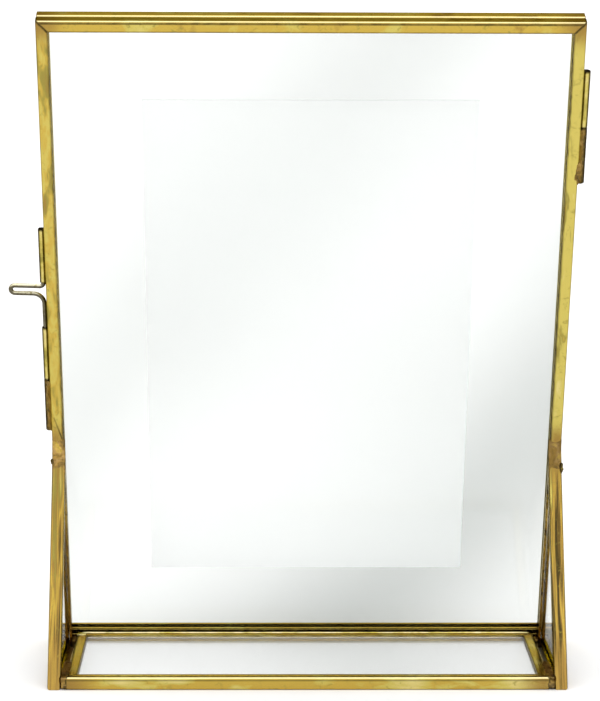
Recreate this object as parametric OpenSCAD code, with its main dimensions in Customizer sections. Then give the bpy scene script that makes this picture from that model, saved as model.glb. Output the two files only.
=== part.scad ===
// Standing picture frame: two glazed brass leaves hinged face to face, soldered to a glazed stand.
// Millimetres. +Z is up, the stand side faces -Y, and the panel leans towards the stand.
// The origin is the middle of the underside of the base's front bar.

/* [Picture panel] */
// Outer width of both leaves
panel_w = 163; // [130:1:200]
// Outer length of both leaves, along the slope
panel_l = 220.4; // [190:0.2:260]
// Lean of the panel from upright, in degrees
lean = 19.5; // [14:0.5:22]
// Space between the two closed leaves
leaf_gap = 0.3; // [0.2:0.05:0.6]

/* [Brass channel] */
// Width of the channel's flange, the face that shows round the glass
bar_w = 3.6; // [3:0.1:5]
// Thickness of the channel over both flanges
bar_t = 4.2; // [3.8:0.1:5]
// Thickness of the folded brass sheet
bar_wall = 0.7; // [0.5:0.05:0.9]
// Radius of the folds along the web
bar_round = 0.8; // [0.5:0.05:1.1]
// Hairline between soldered faces
seam = 0.05; // [0.03:0.01:0.08]

/* [Glass and insert] */
// Thickness of every pane
pane_t = 2.2; // [1.6:0.1:2.3]
// Room between a pane's edge and the bottom of its channel
pane_room = 0.3; // [0.2:0.05:0.6]
// Width of the blank insert card
card_w = 101.5; // [70:0.5:120]
// Length of the blank insert card
card_l = 166; // [120:0.5:178]
// Thickness of the blank insert card
card_t = 0.4; // [0.3:0.05:0.8]
// How far above the middle of the panes the card sits
card_rise = 1.2; // [0:0.1:6]

/* [Stand] */
// Depth of the glazed base frame
base_d = 54.8; // [44:0.2:64]
// Gap on each side between the base frame and the side triangle
side_gap = 1.4; // [1:0.1:3]
// Height where the legs meet the panel
apex_h = 71.1; // [55:0.1:90]
// Height of the panel's lower edge above the ground
foot_lift = 0.3; // [0.2:0.1:0.8]

/* [Hinge] */
// Length of one hinge knuckle
knuckle_l = 18.2; // [12:0.1:24]
// Outer diameter of the hinge's rolled knuckles
knuckle_od = 2.6; // [2.4:0.05:3.2]
// Distance from the panel's top edge to the upper knuckle
hinge_drop = 17; // [8:0.5:40]
// End gap between the two knuckles
knuckle_gap = 0.2; // [0.1:0.05:0.4]

/* [Clasp] */
// Length of each of the clasp's three tubes
clasp_tube_l = 18.3; // [16:0.1:20]
// Outer diameter of the clasp's rolled tubes
clasp_od = 2.3; // [2.2:0.05:3]
// Distance from the panel's top edge to the upper tube
clasp_drop = 69.7; // [55:0.1:80]
// Diameter of the latch wire and of the hinge pin
wire_d = 1.4; // [1.2:0.05:1.5]
// Distance from the latch's axis to the end of its handle
handle_reach = 11; // [9:0.1:14]
// Radius of the wire's bend out of the upper tube
top_bend = 1.3; // [1:0.1:1.8]
// Radius of the handle's rounded end
handle_bend = 1.3; // [1:0.1:1.8]
// Radius of the wire's bend down to the middle tube
low_bend = 3.4; // [2:0.1:4]
// Travel of the latch from raised to locked
latch_travel = 8; // [6:0.1:9]

/* [Hidden] */
$fn = 64;

// Overrun of every cut past the face that it opens
cut = 1;
// Radial clearance of a wire in its tube
run_clear = 0.08;
// Bore of every rolled tube
tube_bore = wire_d + run_clear + run_clear;
wire_r = wire_d / 2;
// Room between a rolled tube and the folds that it lies against
tube_room = 0.05;

// The panel's own frame: X across, Z up the slope, Y from the near face into the thickness
leaf_face = bar_t + leaf_gap;
pane_in = (bar_t - pane_t) / 2;
pane_edge = bar_wall + pane_room;
seam_y = bar_t + leaf_gap / 2;
// Distance from the seam's middle to the flat of a web
fold_y = leaf_gap / 2 + bar_round;
// Axis of a rolled tube that nestles between the folds of both leaves
function tube_x(od) =
    panel_w / 2 - bar_round + sqrt(pow(od / 2 + bar_round + tube_room, 2) - pow(fold_y, 2));
hinge_x = tube_x(knuckle_od);
clasp_x = tube_x(clasp_od);

// Places on the stand, seen from the side
front_y = -bar_w / 2;
rear_y = front_y + base_d;
// Where the near face meets the ground, as it leans a hairline off the fold of the base's rear bar
face_y = rear_y - bar_round + (bar_t - bar_round) * tan(lean) + (bar_round + seam) / cos(lean);
foot_y = face_y - foot_lift * tan(lean);
apex_y = face_y - apex_h * tan(lean);
leg_lean = atan((apex_y - front_y) / apex_h);
base_w = panel_w - (bar_t + side_gap) * 2;
stand_x = panel_w / 2 - bar_t;

// The side triangle's outline, kept a hairline off the panel's face
side_outline = [
    [front_y, 0],
    [face_y - seam / cos(lean), 0],
    [apex_y - seam / cos(lean), apex_h],
];
front_angle = 90 - leg_lean;
rear_angle = 90 - lean;
apex_angle = leg_lean + lean;

// How far up the web the solder of a rolled tube reaches, as a share of the channel's thickness
saddle_share = 0.7;
// Where that solder leaves the tube, in degrees from square to the panel
saddle_turn = 30;
// Solder between the base frame and the side triangles
front_bead_l = 20;
rear_bead_l = 5;
bead_inset = 0.3;
bead_h_share = 0.95;
// Solder where the legs meet the panel
apex_bead_r = 2.6;
apex_bead_w_share = 0.9;
apex_hollow_share = 0.4;

// Hinge places along the panel
hinge_top = panel_l - hinge_drop;
hinge_mid = hinge_top - knuckle_l;
hinge_low = hinge_mid - knuckle_gap - knuckle_l;
// The pin stops short of both open ends
pin_inset = 1.2;

// Latch wire: what its arms keep in the tubes, and its room at the handle's two ends
arm_hold = 6.5;
tip_inset = 1.5;
handle_play = 0.25;
bay_play = 0.35;
// Space between the upper and middle tubes, where the handle travels
handle_bay = handle_play + top_bend + handle_bend * 2 + low_bend + latch_travel + bay_play;
// Clasp places along the panel
clasp_top = panel_l - clasp_drop;
upper_low = clasp_top - clasp_tube_l;
middle_top = upper_low - handle_bay;
middle_low = middle_top - clasp_tube_l;
lower_top = middle_low - knuckle_gap;
lower_low = lower_top - clasp_tube_l;
upper_run = upper_low - handle_play - top_bend;
lower_run = upper_run - handle_bend * 2;
handle_end = handle_reach - handle_bend - wire_r;
arm_in = latch_travel + arm_hold;

BRASS = "#c9a24a";
LIGHT_BRASS = "#dcc070";
DARK_BRASS = "#8a6c34";
SOLDER = "#7d6238";
GLASS = [0.86, 0.93, 0.89, 0.35];
CARD = "#fbfbf9";

// Puts children given in the panel's frame on the leaning panel
module on_panel() {
    translate([0, foot_y, foot_lift]) rotate([lean, 0, 0]) children();
}

// Turns an outline drawn in the XY plane up into the panel's XZ plane, its thickness along Y
module upright() {
    translate([0, bar_t, 0]) rotate([90, 0, 0]) children();
}

// Section of the folded channel: the web along Y at x = 0, both flanges towards +X
module channel_section() {
    difference() {
        union() {
            translate([bar_round, 0]) square([bar_w - bar_round, bar_t]);
            translate([0, bar_round]) square([bar_w, bar_t - bar_round * 2]);
            for (y = [bar_round, bar_t - bar_round]) translate([bar_round, y]) circle(r = bar_round);
        }
        translate([bar_wall, bar_wall]) square([bar_w - bar_wall + cut, bar_t - bar_wall * 2]);
    }
}

// Channel whose web runs from p to q in the XY plane, open to the left, mitred to each corner's angle
module channel(p, q, p_angle, q_angle) {
    run = norm(q - p);
    turn = atan2(q[1] - p[1], q[0] - p[0]);
    p_seam = seam / 2 / sin(p_angle / 2);
    q_seam = seam / 2 / sin(q_angle / 2);
    p_slope = 1 / tan(p_angle / 2);
    q_slope = 1 / tan(q_angle / 2);
    deep = bar_w + cut;
    translate([p[0], p[1], 0]) rotate([0, 0, turn]) intersection() {
        rotate([90, 0, 90]) linear_extrude(height = run) channel_section();
        translate([0, 0, -cut]) linear_extrude(height = bar_t + cut * 2) polygon([
            [p_seam - cut * p_slope, -cut],
            [run - q_seam + cut * q_slope, -cut],
            [run - q_seam - deep * q_slope, deep],
            [p_seam + deep * p_slope, deep],
        ]);
    }
}

// One side of a mitred rectangle w by l, side 0 to 3 from the lower one, counter-clockwise
module rectangle_channel(w, l, side) {
    corners = [[-w / 2, 0], [w / 2, 0], [w / 2, l], [-w / 2, l]];
    channel(corners[side], corners[(side + 1) % 4], 90, 90);
}

// One side of the near leaf, which is soldered to the stand
module near_channel(side) {
    on_panel() upright() rectangle_channel(panel_w, panel_l, side);
}

// One side of the far leaf, which opens as a door
module far_channel(side) {
    on_panel() translate([0, leaf_face, 0]) upright() rectangle_channel(panel_w, panel_l, side);
}

// Pane that fills a leaf's slots
module leaf_pane() {
    translate([-panel_w / 2 + pane_edge, pane_in, pane_edge])
        cube([panel_w - pane_edge * 2, pane_t, panel_l - pane_edge * 2]);
}

module near_top_channel() { color(BRASS) near_channel(2); }
module near_bottom_channel() { color(BRASS) near_channel(0); }
module near_left_channel() { color(BRASS) near_channel(3); }
module near_right_channel() { color(BRASS) near_channel(1); }
module near_glass() { color(GLASS) on_panel() leaf_pane(); }

module far_top_channel() { color(BRASS) far_channel(2); }
module far_bottom_channel() { color(BRASS) far_channel(0); }
module far_left_channel() { color(BRASS) far_channel(3); }
module far_right_channel() { color(BRASS) far_channel(1); }
module far_glass() { color(GLASS) on_panel() translate([0, leaf_face, 0]) leaf_pane(); }

// Blank card that lies on the near pane
module insert_card() {
    color(CARD) on_panel()
        translate([-card_w / 2, pane_in + pane_t + seam, (panel_l - card_l) / 2 + card_rise])
            cube([card_w, card_t, card_l]);
}

// Rolled tube on a leaf's side edge: side is 1 right or -1 left, leaf is 1 far or -1 near
module side_tube(side, leaf, od, low, l) {
    reach = tube_x(od) - panel_w / 2;
    on_panel() translate([side * tube_x(od), seam_y, low]) difference() {
        union() {
            cylinder(h = l, d = od);
            linear_extrude(height = l) polygon([
                [-side * reach, leaf * fold_y],
                [-side * reach, leaf * bar_t * saddle_share],
                [side * od / 2 * sin(saddle_turn), leaf * od / 2 * cos(saddle_turn)],
                [0, 0],
            ]);
        }
        translate([0, 0, -cut]) cylinder(h = l + cut * 2, d = tube_bore);
    }
}

module hinge_upper_knuckle() { color(LIGHT_BRASS) side_tube(1, 1, knuckle_od, hinge_mid, knuckle_l); }
module hinge_lower_knuckle() { color(DARK_BRASS) side_tube(1, -1, knuckle_od, hinge_low, knuckle_l); }

// Pin fixed in the lower knuckle, on which the upper one turns
module hinge_pin() {
    color(DARK_BRASS) on_panel() translate([hinge_x, seam_y, hinge_low + pin_inset])
        cylinder(h = hinge_top - hinge_low - pin_inset * 2, r = wire_r);
}

module clasp_upper_tube() { color(LIGHT_BRASS) side_tube(-1, 1, clasp_od, upper_low, clasp_tube_l); }
module clasp_middle_tube() { color(LIGHT_BRASS) side_tube(-1, 1, clasp_od, middle_low, clasp_tube_l); }
module clasp_lower_tube() { color(DARK_BRASS) side_tube(-1, -1, clasp_od, lower_low, clasp_tube_l); }

// Wire arc in the XZ plane about its own centre, from one angle through a sweep
module wire_arc(r, from, sweep) {
    rotate([90, 0, 0]) rotate([0, 0, from]) rotate_extrude(angle = sweep)
        translate([r, 0]) circle(r = wire_r);
}

// Straight wire along -X from a point in the XZ plane
module wire_across(x, z, l) {
    translate([x, 0, z]) rotate([0, -90, 0]) cylinder(h = l, r = wire_r);
}

// Sliding hairpin: an arm in the upper tube, a flat loop as its handle, an arm in the middle tube
module latch_pin() {
    color(LIGHT_BRASS) on_panel() translate([-clasp_x, seam_y, 0]) {
        translate([0, 0, upper_run + top_bend]) cylinder(h = arm_in + handle_play, r = wire_r);
        translate([-top_bend, 0, upper_run + top_bend]) wire_arc(top_bend, -90, 90);
        wire_across(-top_bend, upper_run, handle_end - top_bend);
        translate([-handle_end, 0, upper_run - handle_bend]) wire_arc(handle_bend, 90, 180);
        wire_across(-low_bend, lower_run, handle_end - low_bend);
        translate([-low_bend, 0, lower_run - low_bend]) wire_arc(low_bend, 0, 90);
        translate([0, 0, middle_low + tip_inset])
            cylinder(h = lower_run - low_bend - middle_low - tip_inset, r = wire_r);
    }
}

// One side of the base frame, which lies flat between the side triangles
module base_channel(side) {
    translate([0, front_y, 0]) rectangle_channel(base_w, base_d, side);
}

module base_front_channel() { color(BRASS) base_channel(0); }
module base_rear_channel() { color(BRASS) base_channel(2); }
module base_left_channel() { color(BRASS) base_channel(3); }
module base_right_channel() { color(BRASS) base_channel(1); }

module base_glass() {
    color(GLASS) translate([-base_w / 2 + pane_edge, front_y + pane_edge, pane_in])
        cube([base_w - pane_edge * 2, base_d - pane_edge * 2, pane_t]);
}

// Stands a triangle drawn in the XY plane upright in the YZ plane, between stand_x and the panel's side
module on_side(side) {
    translate([side > 0 ? stand_x : -stand_x - bar_t, 0, 0]) rotate([90, 0, 90]) children();
}

// One side of a stand triangle: 0 on the ground, 1 along the panel, 2 the front leg
module side_channel(side, edge) {
    angles = [front_angle, rear_angle, apex_angle];
    next = (edge + 1) % 3;
    on_side(side) channel(side_outline[edge], side_outline[next], angles[edge], angles[next]);
}

// Pane that fills a stand triangle's slots
module side_pane(side) {
    inset = [for (a = [front_angle, rear_angle, apex_angle]) pane_edge / sin(a / 2)];
    turn = [front_angle / 2, 180 - rear_angle / 2, 270 - leg_lean + apex_angle / 2];
    on_side(side) translate([0, 0, pane_in]) linear_extrude(height = pane_t)
        polygon([for (i = [0:2]) side_outline[i] + inset[i] * [cos(turn[i]), sin(turn[i])]]);
}

module left_leg_channel() { color(BRASS) side_channel(-1, 2); }
module left_rear_channel() { color(BRASS) side_channel(-1, 1); }
module left_foot_channel() { color(BRASS) side_channel(-1, 0); }
module left_side_glass() { color(GLASS) side_pane(-1); }
module right_leg_channel() { color(BRASS) side_channel(1, 2); }
module right_rear_channel() { color(BRASS) side_channel(1, 1); }
module right_foot_channel() { color(BRASS) side_channel(1, 0); }
module right_side_glass() { color(GLASS) side_pane(1); }

// Four solder beads that tie the base frame to the feet of the side triangles
module base_corner_solder() {
    beads = [[front_y + bead_inset, front_bead_l], [rear_y - rear_bead_l - bead_inset, rear_bead_l]];
    color(SOLDER) for (side = [-1, 1], bead = beads)
        translate([side * (stand_x - side_gap / 2) - side_gap / 2 + seam, bead[0], 0])
            cube([side_gap - seam * 2, bead[1], bar_t * bead_h_share]);
}

// Two solder beads in the crevice between the top of each leg and the panel's face
module apex_solder() {
    bead_w = bar_t * apex_bead_w_share;
    leg_out = [-cos(leg_lean), sin(leg_lean)];
    panel_out = [-cos(lean), -sin(lean)];
    root = [apex_y, apex_h] + seam * leg_out + seam * panel_out;
    up_leg = [-sin(leg_lean), -cos(leg_lean)];
    up_panel = [-sin(lean), cos(lean)];
    color(SOLDER) for (side = [-1, 1])
        translate([side * (stand_x + bar_t / 2) - bead_w / 2, 0, 0]) rotate([90, 0, 90])
            linear_extrude(height = bead_w) polygon([
                root,
                root + apex_bead_r * up_leg,
                root + apex_bead_r * apex_hollow_share * (leg_out + panel_out),
                root + apex_bead_r * up_panel,
            ]);
}

near_top_channel();
near_bottom_channel();
near_left_channel();
near_right_channel();
near_glass();
far_top_channel();
far_bottom_channel();
far_left_channel();
far_right_channel();
far_glass();
insert_card();
hinge_upper_knuckle();
hinge_lower_knuckle();
hinge_pin();
clasp_upper_tube();
clasp_middle_tube();
clasp_lower_tube();
latch_pin();
base_front_channel();
base_rear_channel();
base_left_channel();
base_right_channel();
base_glass();
left_leg_channel();
left_rear_channel();
left_foot_channel();
left_side_glass();
right_leg_channel();
right_rear_channel();
right_foot_channel();
right_side_glass();
base_corner_solder();
apex_solder();
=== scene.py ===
"""Dresses and lights a leaning two-leaf photo frame of folded brass channel and clear glass.

Lengths are in metres and the axes are the part's own: +Z is up, the stand side faces -Y, the hinge is on +X.
"""

import math
from typing import NamedTuple

import bmesh
import bpy
from bpy.props import FloatProperty, FloatVectorProperty, PointerProperty
from mathutils import Matrix, Vector, noise


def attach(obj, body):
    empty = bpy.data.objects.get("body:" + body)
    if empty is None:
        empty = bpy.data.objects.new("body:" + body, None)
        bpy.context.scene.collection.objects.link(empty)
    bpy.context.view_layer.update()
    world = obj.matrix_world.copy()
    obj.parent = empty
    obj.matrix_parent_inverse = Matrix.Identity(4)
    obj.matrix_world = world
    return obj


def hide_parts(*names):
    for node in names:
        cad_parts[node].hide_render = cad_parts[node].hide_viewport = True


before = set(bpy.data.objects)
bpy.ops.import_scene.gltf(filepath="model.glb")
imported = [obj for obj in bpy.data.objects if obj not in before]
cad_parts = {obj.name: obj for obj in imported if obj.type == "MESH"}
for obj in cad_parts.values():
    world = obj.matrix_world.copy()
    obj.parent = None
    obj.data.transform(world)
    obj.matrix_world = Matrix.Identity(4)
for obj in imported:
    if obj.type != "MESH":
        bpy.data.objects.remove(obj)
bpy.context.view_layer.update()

bl_info = {
    "name": "Brass photo frame",
    "version": (1, 0, 0),
    "blender": (4, 5, 0),
    "location": "View3D > Sidebar > Photo frame",
    "description": "Dresses a leaning two-leaf frame of folded brass channel and clear glass, and lights it",
    "category": "Object",
}

MM = 0.001
STAND = "stand_and_near_leaf"
DOOR = "far_leaf"
LEFT, RIGHT = -1, 1
NEAR, FAR = -1, 1

# Slant of the grey bands of painted reflection on the panes, their reach along that slant and how clear the
# glass is over it
BAND_SLANT = 0.8
BAND_REACH = (-223 * MM, 97 * MM)
BAND_CLEARNESS = (
    (0.0, 1.0), (0.12, 1.0), (0.27, 0.3), (0.40, 1.0), (0.50, 1.0),
    (0.62, 0.6), (0.72, 0.0), (0.80, 0.05), (0.90, 0.9), (1.0, 1.0),
)
# Where a noise passes from low to high, for soft clouds and for most of its range
CLOUDS = (0.35, 0.65)
RANGE = (0.3, 0.7)


def length(name, description, millimetres):
    return FloatProperty(name=name, description=description, default=millimetres * MM, unit="LENGTH")


def angle(name, description, degrees):
    return FloatProperty(name=name, description=description, default=math.radians(degrees), subtype="ANGLE")


def share(name, description, value):
    return FloatProperty(name=name, description=description, default=value, min=0, max=1, subtype="FACTOR")


def strength(name, description, value, unit="NONE"):
    return FloatProperty(name=name, description=description, default=value, min=0, unit=unit)


def colour(name, description, value):
    return FloatVectorProperty(
        name=name, description=description, subtype="COLOR", size=3, min=0, max=1, default=value
    )


class FrameSizes(bpy.types.PropertyGroup):
    """Sizes that the dressing pieces share with the solids"""

    panel_w: length("Panel width", "Outer width of both leaves", 163)
    panel_l: length("Panel length", "Outer length of both leaves along the slope", 220.4)
    lean: angle("Lean", "Lean of the panel from upright", 19.5)
    foot_lift: length("Foot lift", "Height of the panel's lower edge", 0.3)
    leaf_gap: length("Leaf gap", "Space between the two closed leaves", 0.3)
    bar_w: length("Flange width", "Width of the channel's flange", 3.6)
    bar_t: length("Channel thickness", "Thickness of the channel over both flanges", 4.2)
    fold: length("Fold radius", "Radius of the folds along the web", 0.8)
    seam: length("Seam", "Hairline between soldered faces", 0.05)
    base_d: length("Base depth", "Depth of the glazed base frame", 54.8)
    side_gap: length("Base side gap", "Gap between the base frame and a side triangle", 1.4)
    apex_h: length("Leg height", "Height where the legs meet the panel", 71.1)
    front_bead_l: length("Front solder", "Length of the solder at the base's front corners", 20)
    rear_bead_l: length("Rear solder", "Length of the solder at the base's rear corners", 5)
    sheet_t: length("Rolled sheet", "Thickness of the sheet that the tubes are rolled from", 0.22)
    tube_room: length("Tube room", "Room between a rolled tube and the folds beside it", 0.05)
    tube_gap: length("Tube gap", "Gap between two tubes in one line", 0.2)
    hinge_drop: length("Hinge drop", "Distance from the panel's top edge to the upper knuckle", 17)
    knuckle_l: length("Knuckle length", "Length of each of the hinge's two knuckles", 18.2)
    knuckle_od: length("Knuckle diameter", "Outer diameter of the hinge's knuckles", 2.6)
    clasp_drop: length("Clasp drop", "Distance from the panel's top edge to the upper tube", 69.7)
    clasp_tube_l: length("Clasp tube length", "Length of each of the clasp's three tubes", 18.3)
    clasp_od: length("Clasp tube diameter", "Outer diameter of the clasp's tubes", 2.3)
    handle_bay: length("Handle bay", "Space between the upper and middle tubes", 15.9)
    wire_d: length("Wire diameter", "Diameter of the latch wire", 1.4)
    handle_reach: length("Handle reach", "Distance from the latch's axis to the end of its handle", 11)
    handle_play: length("Handle play", "Room between the upper tube and the first bend", 0.25)
    handle_bend: length("Handle bend", "Radius of the first bend and of the handle's end", 1.3)
    low_bend: length("Low bend", "Radius of the wire's bend down to the middle tube", 3.4)
    arm_in: length("Upper arm", "Straight length of the arm in the upper tube", 14.5)
    tip_inset: length("Tip inset", "Distance from the lower arm's tip to its tube's low end", 1.5)


class BrassFinish(bpy.types.PropertyGroup):
    """Colours and surface of the aged brass"""

    # This cream is both a painted highlight along the folds of the bars and the base, and the colour of
    # bright solder.
    highlight_and_bright_solder: colour("Worn brass", "Cream shine of rubbed folds and bright solder", (0.80, 0.72, 0.40))
    pale: colour("Pale brass", "Rubbed highlights", (0.66, 0.55, 0.20))
    yellow: colour("Yellow brass", "Cleaner, greener brass", (0.55, 0.45, 0.105))
    gold: colour("Gold brass", "Warmer brass", (0.52, 0.36, 0.065))
    olive: colour("Olive brass", "Greenish, duller brass", (0.30, 0.25, 0.055))
    patina: colour("Patina", "Brown heat colour near solder", (0.31, 0.19, 0.045))
    # Real tarnish colour of the lower tubes and of solder; the painted shade inside the tubes is a separate
    # material.
    tarnish_and_inside_shade: colour("Tarnish", "Brown-grey of the lower tubes", (0.095, 0.065, 0.026))
    # Also the colour that the painted shade on folds, edges, tubes and wire blends to.
    dark: colour("Dark patina", "Nearly black brown in corners", (0.07, 0.05, 0.016))
    solder: colour("Solder", "Heat-darkened solder", (0.26, 0.165, 0.06))
    wire: colour("Latch wire", "Pale, worn wire of the latch", (0.74, 0.69, 0.50))
    level_edge: colour("Level edge tint", "Tarnish on level bars at grazing angles", (0.5, 0.45, 0.36))
    side_edge: colour("Side edge tint", "Tarnish on upright bars at grazing angles", (0.48, 0.43, 0.24))
    tube_edge: colour("Tube edge tint", "Tarnish on tubes, wire and solder there", (0.30, 0.26, 0.13))
    rough: share("Roughness", "Roughness of the rubbed brass", 0.2)
    tube_rough: share("Tube roughness", "Roughness of the far leaf's tubes", 0.17)
    # Painted shade on the up-facing webs of the near leaf's level bars.
    web_shade: share("Web dirt", "Dirt on the webs of the near leaf's level bars", 0.55)
    ripple: length("Ripple", "Height of the hand-folded sheet's ripples", 0.12)
    softened: length("Edge rounding", "Rounding of the sheet's cut edges", 0.1)


class PaneFinish(bpy.types.PropertyGroup):
    """Glass and card"""

    glass: colour("Glass", "Tint of clear glass", (0.955, 0.965, 0.957))
    base_glass: colour("Base glass", "Tint of the base's glass", (1.0, 1.0, 1.0))
    # The grey bands are painted reflection, set into the panes' tint.
    grey: colour("Grey tint", "Tint of the grey bands", (0.992, 1.0, 0.994))
    glare: share("Glare", "Strength of the mirror image in the leaves, where 1 is plain glass", 0.3)
    near_sheen: share("Near sheen", "Depth of the grey bands on the near pane", 0.09)
    far_sheen: share("Far sheen", "Depth of the grey bands on the far pane", 0.32)
    side_sheen: share("Side sheen", "Depth of the grey bands on the side panes", 0.03)
    # Painted light: the base pane glows, standing in for studio light that it throws up.
    pane_gleam: share("Base pane gleam", "Studio light that the base pane throws up", 0.05)
    card: colour("Card", "Blank insert card", (0.95, 0.95, 0.945))
    # Painted light: the card glows, more at its foot than higher up.
    foot_glow: share("Card whitener, foot", "Light of the card's whitener at its foot", 0.42)
    top_glow: share("Card whitener, top", "Light of the card's whitener higher up", 0.255)


class StudioSettings(bpy.types.PropertyGroup):
    """Floor, light and camera"""

    floor: colour("Floor", "Pale floor", (0.93, 0.93, 0.93))
    floor_size: length("Floor size", "Side of the floor", 16000)
    softbox: strength("Softbox", "Power of the softbox above", 2.0, "POWER")
    light: strength("Studio light", "Strength of the light from all sides", 1.06)
    ceiling: strength("Ceiling", "Brightness of the ceiling", 1.5)
    wall: strength("Wall", "Brightness of the walls in front, over the horizon", 1.0)
    back: strength("Back wall", "Brightness of the wall behind, over the horizon", 0.62)
    high_back: strength("High back wall", "Brightness of the wall behind, under the ceiling", 0.7)
    back_floor: strength("Back floor", "Brightness low behind the frame", 1.28)
    front: strength("Front fill", "Brightness low in front of the frame", 2.2)
    lens: strength("Lens", "Focal length on a 36 mm long side", 137.92, "CAMERA")
    camera: FloatVectorProperty(
        name="Camera", description="Where the camera stands", subtype="TRANSLATION", size=3,
        default=(-0.01437, -0.81628, 0.23105),
    )
    pitch: angle("Pitch", "How far the camera looks down", 8.6282)
    yaw: angle("Yaw", "How far the camera turns to the right", 0.8121)
    roll: angle("Roll", "How far the camera rolls", 0.1938)


def sizes():
    return bpy.context.scene.photo_frame_sizes


def brass():
    return bpy.context.scene.photo_frame_brass


def panes():
    return bpy.context.scene.photo_frame_panes


def studio():
    return bpy.context.scene.photo_frame_studio


def front_y():
    """Where the base's front edge lies."""
    return -sizes().bar_w / 2


def rear_y():
    """Where the base's rear edge lies."""
    return front_y() + sizes().base_d


def base_half():
    """Half width of the base frame."""
    size = sizes()
    return size.panel_w / 2 - size.bar_t - size.side_gap


def face_y():
    """Where the near face meets the ground."""
    size = sizes()
    leaning = (size.bar_t - size.fold) * math.tan(size.lean)
    return rear_y() - size.fold + leaning + (size.fold + size.seam) / math.cos(size.lean)


def foot():
    """Middle of the panel's lower edge, on its near face."""
    size = sizes()
    return Vector((0.0, face_y() - size.foot_lift * math.tan(size.lean), size.foot_lift))


def apex_y():
    """Where the legs meet the panel's near face."""
    return face_y() - sizes().apex_h * math.tan(sizes().lean)


def leg_lean():
    """Lean of the legs, back from upright."""
    return math.atan2(apex_y() - front_y(), sizes().apex_h)


def on_ground(x, y, z):
    return Vector((x, y, z))


def on_panel(x, n, s):
    """Point at x across, n behind the near face and s up the slope."""
    lean = sizes().lean
    sn, cs = math.sin(lean), math.cos(lean)
    return foot() + Vector((x, n * cs - s * sn, n * sn + s * cs))


def seam_depth():
    """Distance from the near face back to the middle of the gap between the leaves."""
    return sizes().bar_t + sizes().leaf_gap / 2


def tube_x(od):
    """Distance from the middle to the axis of a tube that nestles between the folds of both leaves."""
    size = sizes()
    out = od / 2 + size.fold + size.tube_room
    up = size.leaf_gap / 2 + size.fold
    return size.panel_w / 2 - size.fold + math.sqrt(out * out - up * up)


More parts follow.
